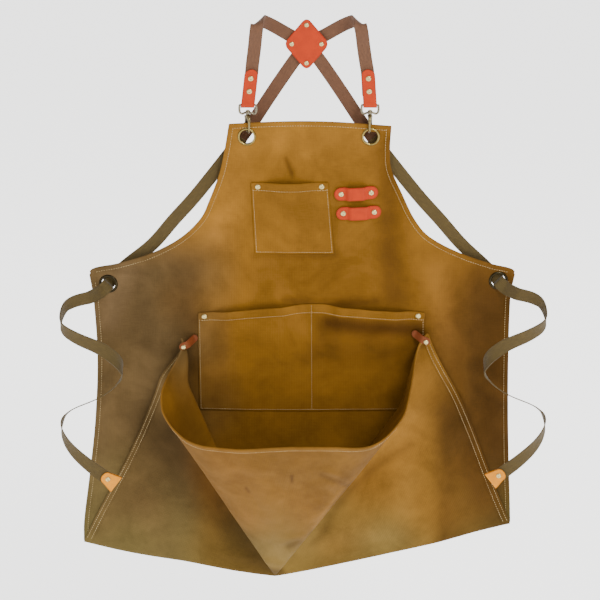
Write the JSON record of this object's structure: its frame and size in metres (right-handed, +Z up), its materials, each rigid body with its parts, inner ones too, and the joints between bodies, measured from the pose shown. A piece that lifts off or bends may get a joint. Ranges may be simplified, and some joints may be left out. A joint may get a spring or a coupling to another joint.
{
  "type": "woodworking apron",
  "caption": "Waxed-canvas woodworking apron with crossed back straps, snap hooks, riveted pockets and tool loops, and a turned-up skirt buttoned into an open pouch.",
  "frame": {"origin": "midway between the two bends of the shoulder straps, where shoulders or a hanger would carry them", "axes": "+Z up as worn, -Y the apron's front, +X to the right as seen from the front, which is the wearer's left"},
  "size_m": [0.7838, 0.215, 0.9528],
  "materials": {
    "canvas": "waxed brown cotton canvas, matt, rubbed darker at folds",
    "canvas_reverse": "reverse face of the waxed canvas, olive brown",
    "red_leather": "red-orange vegetable-tanned leather, smooth",
    "gold_leather": "golden tan leather",
    "tab_leather": "brown leather",
    "brown_webbing": "woven cotton webbing, brown",
    "olive_webbing": "woven cotton webbing, olive",
    "pale_brass": "pale polished brass rivet",
    "aged_brass": "antique brass eyelet",
    "steel": "plated steel wire and cast hook, slightly worn"
  },
  "bodies": {
    "apron": {"apron_body": "canvas", "bib_eyelet_left": "aged_brass", "bib_eyelet_right": "aged_brass", "bib_pocket": "canvas", "bib_pocket_rivet_left": "pale_brass", "bib_pocket_rivet_right": "pale_brass", "cross_patch": "red_leather", "cross_patch_rivet_bottom": "pale_brass", "cross_patch_rivet_left": "pale_brass", "cross_patch_rivet_right": "pale_brass", "cross_patch_rivet_top": "pale_brass", "d_loop_left": "steel", "d_loop_right": "steel", "lower_pocket": "canvas", "lower_pocket_rivet_left": "pale_brass", "lower_pocket_rivet_right": "pale_brass", "pouch_flap": "canvas_reverse", "pouch_stud_left": "pale_brass", "pouch_stud_right": "pale_brass", "pouch_tab_left": "tab_leather", "pouch_tab_right": "tab_leather", "shoulder_strap_left": "brown_webbing", "shoulder_strap_right": "brown_webbing", "strap_tab_left": "red_leather", "strap_tab_left_rivet_lower": "pale_brass", "strap_tab_left_rivet_upper": "pale_brass", "strap_tab_right": "red_leather", "strap_tab_right_rivet_lower": "pale_brass", "strap_tab_right_rivet_upper": "pale_brass", "strap_tip_left": "gold_leather", "strap_tip_left_rivet": "pale_brass", "strap_tip_right": "gold_leather", "strap_tip_right_rivet": "pale_brass", "tool_loop_lower": "red_leather", "tool_loop_lower_rivet_left": "pale_brass", "tool_loop_lower_rivet_right": "pale_brass", "tool_loop_upper": "red_leather", "tool_loop_upper_rivet_left": "pale_brass", "tool_loop_upper_rivet_right": "pale_brass", "waist_eyelet_left": "aged_brass", "waist_eyelet_right": "aged_brass", "waist_strap_left": "olive_webbing", "waist_strap_right": "olive_webbing"},
    "hook_left": {"snap_hook_left": "steel"},
    "gate_left": {"hook_gate_left": "steel"},
    "hook_right": {"snap_hook_right": "steel"},
    "gate_right": {"hook_gate_right": "steel"}
  },
  "joints": [
    {"name": "hook_swivel_left", "type": "hinge", "parent": "apron", "child": "hook_left", "pos_m": [-0.0922, -0.0042, -0.1392], "axis": [0, 0, 1], "range_deg": [-44, 6]},
    {"name": "gate_hinge_left", "type": "hinge", "parent": "hook_left", "child": "gate_left", "pos_m": [-0.09419, 0.00272, -0.1478], "axis": [-0.9613, -0.2756, 0], "range_deg": [0, 8], "stiffness_Nm_per_rad": 0.03, "springref_deg": -5.73},
    {"name": "hook_swivel_right", "type": "hinge", "parent": "apron", "child": "hook_right", "pos_m": [0.0976, -0.0042, -0.1392], "axis": [0, 0, 1], "range_deg": [-18, 28]},
    {"name": "gate_hinge_right", "type": "hinge", "parent": "hook_right", "child": "gate_right", "pos_m": [0.0981, 0.00298, -0.1478], "axis": [-0.9976, 0.0698, 0], "range_deg": [0, 8], "stiffness_Nm_per_rad": 0.03, "springref_deg": -5.73}
  ]
}
